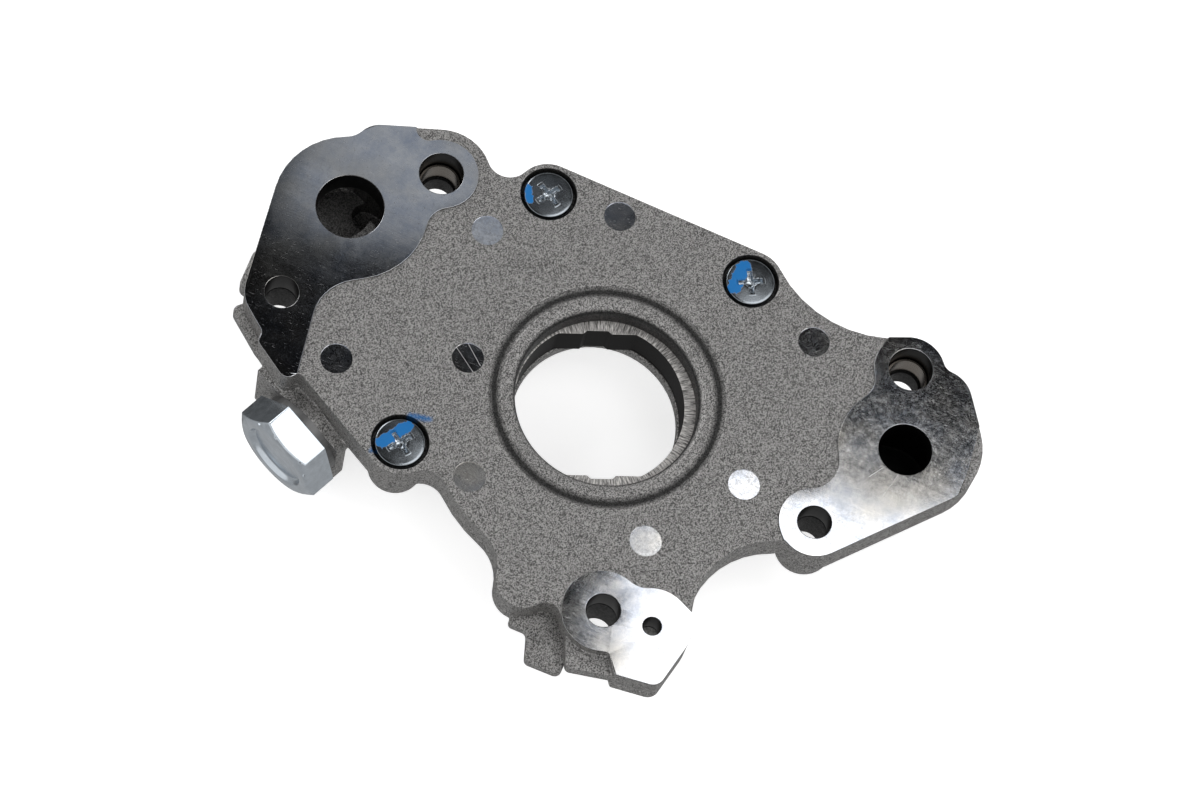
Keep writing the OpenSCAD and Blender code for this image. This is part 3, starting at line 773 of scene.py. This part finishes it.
def zinc(finish, shade):
    """Colour, roughness and normal of the coat: a slow wave, with fine spots over it."""
    wave = finish.noise(2.2, detail=3)
    spot = finish.noise(0.35, detail=2)
    colour = finish.mix(wave, grey(shade * 0.75, ZINC_COOL), grey(shade * 1.2, ZINC_COOL))
    rough = wave * 0.12 + (spot - 0.5) * 0.12 + 0.14
    normal = finish.bump(wave * 0.5 + spot * 0.2, 0.25, 0.06)
    return colour, rough, normal


def screw_zinc():
    """The coat, with a painted highlight in the recess and ragged dabs of paint on the top of the
    head.
    """
    finish = Finish("screw_zinc")
    colour, rough, normal = zinc(finish, SCREW_SHADE)
    recess = finish.z.below(SCREW_TOP - 0.35, 0.15)
    # Painted highlight in the cross recess.
    colour = finish.mix(recess, colour, grey(RECESS_HIGHLIGHT, ZINC_COOL))
    ragged = (finish.noise(1.1, detail=3) - 0.5) * 1.6
    paint = either(*[stroke(finish, *dab, soft=0.25, ragged=ragged) for dab in DABS])
    paint = paint * finish.z.above(SCREW_TOP - 0.5, 0.1)
    colour = finish.mix(paint, colour, PAINT_BLUE)
    rough = rough + paint * 0.25
    return finish.set(Base_Color=colour, Metallic=1 - paint, Roughness=rough, Normal=normal)


def plug_zinc():
    finish = Finish("plug_zinc")
    colour, rough, normal = zinc(finish, PLUG_SHADE)
    return finish.set(Base_Color=colour, Metallic=1.0, Roughness=rough, Normal=normal)


painted_zinc = screw_zinc()
for screw in screws:
    screw.data.materials.append(painted_zinc)
plug.data.materials.append(plug_zinc())

# %% [markdown]
# ## Rotors
# The rotors are pressed from iron powder, so their skin is dark and dull, and only the end faces
# are ground: those carry fine lines that fan out from the middle. Noise read by bearing and
# radius, in place of x and y, draws such a fan. The pressed skin is painted near-black: its own
# dark colour with painted shade added.

# %% Sintered iron
FAN_PER_RADIAN = 60
FAN_PER_MM = 0.35
IRON_SPECULAR = 0.06


def dress(name, material):
    """Gives a frame node a finish in place of its own."""
    mesh = nodes[name].data
    mesh.materials.clear()
    mesh.materials.append(material)


def sintered_iron():
    """Porous iron painted near-black, its own dark colour with painted shade added, and a bright fan
    of lines on the end face that the camera sees.
    """
    finish = Finish("sintered_rotor")
    pores = finish.noise(0.3, detail=2)
    cloud = finish.noise(9, detail=3)
    bearing = finish.y.math("ARCTAN2", finish.x)
    fan = {0: bearing * FAN_PER_RADIAN, 1: radius(finish, (0, 0)) * FAN_PER_MM, 2: 0.0}
    lines = finish.noise(1.0, detail=3, vector=finish.node("ShaderNodeCombineXYZ", fan), rough=0.7)
    on_top = finish.z.above(ROTOR_TOP - 0.1, 0.05)
    # Painted shade: the pressed skin's two greys are near-black.
    pressed = finish.mix(cloud * 0.6 + pores * 0.4, grey(0.003, 0.03), grey(0.012, 0.05))
    ground = finish.mix(lines.above(0.52, 0.25), grey(0.16, 0.03), grey(0.9, 0.03))
    colour = finish.mix(on_top, pressed, ground)
    normal = finish.bump(pores * 0.5 + lines * on_top * 0.6, 0.4, 0.04)
    return finish.set(Base_Color=colour, Metallic=on_top * 0.5, Roughness=pores * 0.15 + 0.4,
                      Specular_IOR_Level=IRON_SPECULAR, Normal=normal)


rotor_iron = sintered_iron()
inner.data.materials.append(rotor_iron)
dress("outer_rotor", rotor_iron)

# %% [markdown]
# ## Dowels, washer, spring and piston
# The dowels and the piston are ground all round, the washer is plain metal and the spring is drawn
# wire. Each could have a finish of its own, but only the dowels and the washer's edge show, so one
# serves them all: fine level lines, which run round an upright ring as a grinding wheel leaves
# them, in a dark and a bright shade of the same colour.

# %% Small steel parts
LEVEL_LINES = (0.05, 0.05, 1.4)
DOWEL_STEEL = (0.13, 0.115, 0.1, 1)
SPRING_WIRE = (0.4, 0.4, 0.42, 1)
WASHER_METAL = (0.12, 0.12, 0.12, 1)


def ground_steel(name, colour, rough):
    """Noise drawn out along X and Y gives level lines, up to three times as bright as the colour."""
    finish = Finish(name)
    level = finish.node("ShaderNodeMapping", {0: finish.place, "Scale": LEVEL_LINES})
    lines = finish.noise(1.0, detail=2, vector=level)
    bright = tuple(min(1.0, channel * 3) for channel in colour)
    return finish.set(Base_Color=finish.mix(lines * 0.6, colour, bright), Metallic=1.0,
                      Roughness=lines * 0.1 + rough, Normal=finish.bump(lines, 0.15, 0.01))


dowel_steel = ground_steel("dowel_steel", DOWEL_STEEL, rough=0.22)
for name in ("ring_dowel_left", "ring_dowel_right", "relief_piston"):
    dress(name, dowel_steel)
dress("relief_spring", ground_steel("spring_wire", SPRING_WIRE, rough=0.3))
dress("plug_washer", ground_steel("washer_metal", WASHER_METAL, rough=0.4))

# %% [markdown]
# ## The last update
# The view layer is brought up to date once more.

# %% Last update
bpy.context.view_layer.update()
